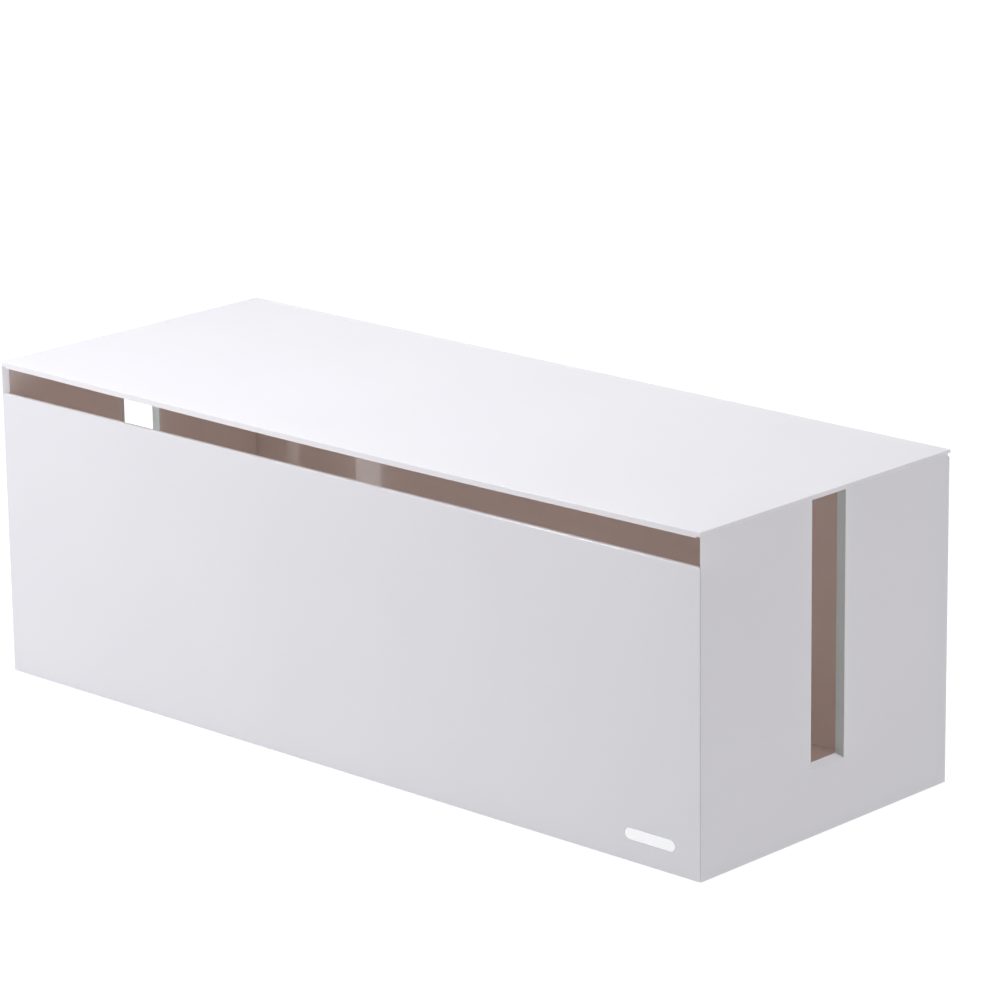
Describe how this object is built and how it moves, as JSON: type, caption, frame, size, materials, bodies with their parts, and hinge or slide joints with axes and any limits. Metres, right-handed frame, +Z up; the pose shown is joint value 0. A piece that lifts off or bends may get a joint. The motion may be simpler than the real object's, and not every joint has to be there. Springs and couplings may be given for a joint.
{
  "type": "cable box",
  "caption": "Long lidded box that hides a power strip, with a cable slot in each side, a gap below the lid at the front and a hinged lid.",
  "frame": {"origin": "on the surface the box stands on, below the middle of the box", "axes": "+X along the box's length to the right seen from the front, -Y towards the front, +Z up"},
  "size_m": [0.4, 0.154, 0.1425],
  "materials": {
    "shell_plastic": "glossy white",
    "lid_plastic": "glossy white",
    "badge_plastic": "satin white",
    "pin_steel": "drawn wire",
    "foot_rubber": "matt black"
  },
  "bodies": {
    "box": {"front_panel": "shell_plastic", "back_panel": "shell_plastic", "side_panel_left": "shell_plastic", "side_panel_right": "shell_plastic", "floor_panel": "shell_plastic", "badge": "badge_plastic", "hinge_pin_left": "pin_steel", "hinge_pin_right": "pin_steel", "foot_front_left": "foot_rubber", "foot_front_right": "foot_rubber", "foot_rear_left": "foot_rubber", "foot_rear_right": "foot_rubber"},
    "lid": {"lid": "lid_plastic"}
  },
  "joints": [
    {"name": "lid_hinge", "type": "hinge", "parent": "box", "child": "lid", "pos_m": [0, 0.0746, 0.1381], "axis": [-1, 0, 0], "range_deg": [0, 97]}
  ]
}
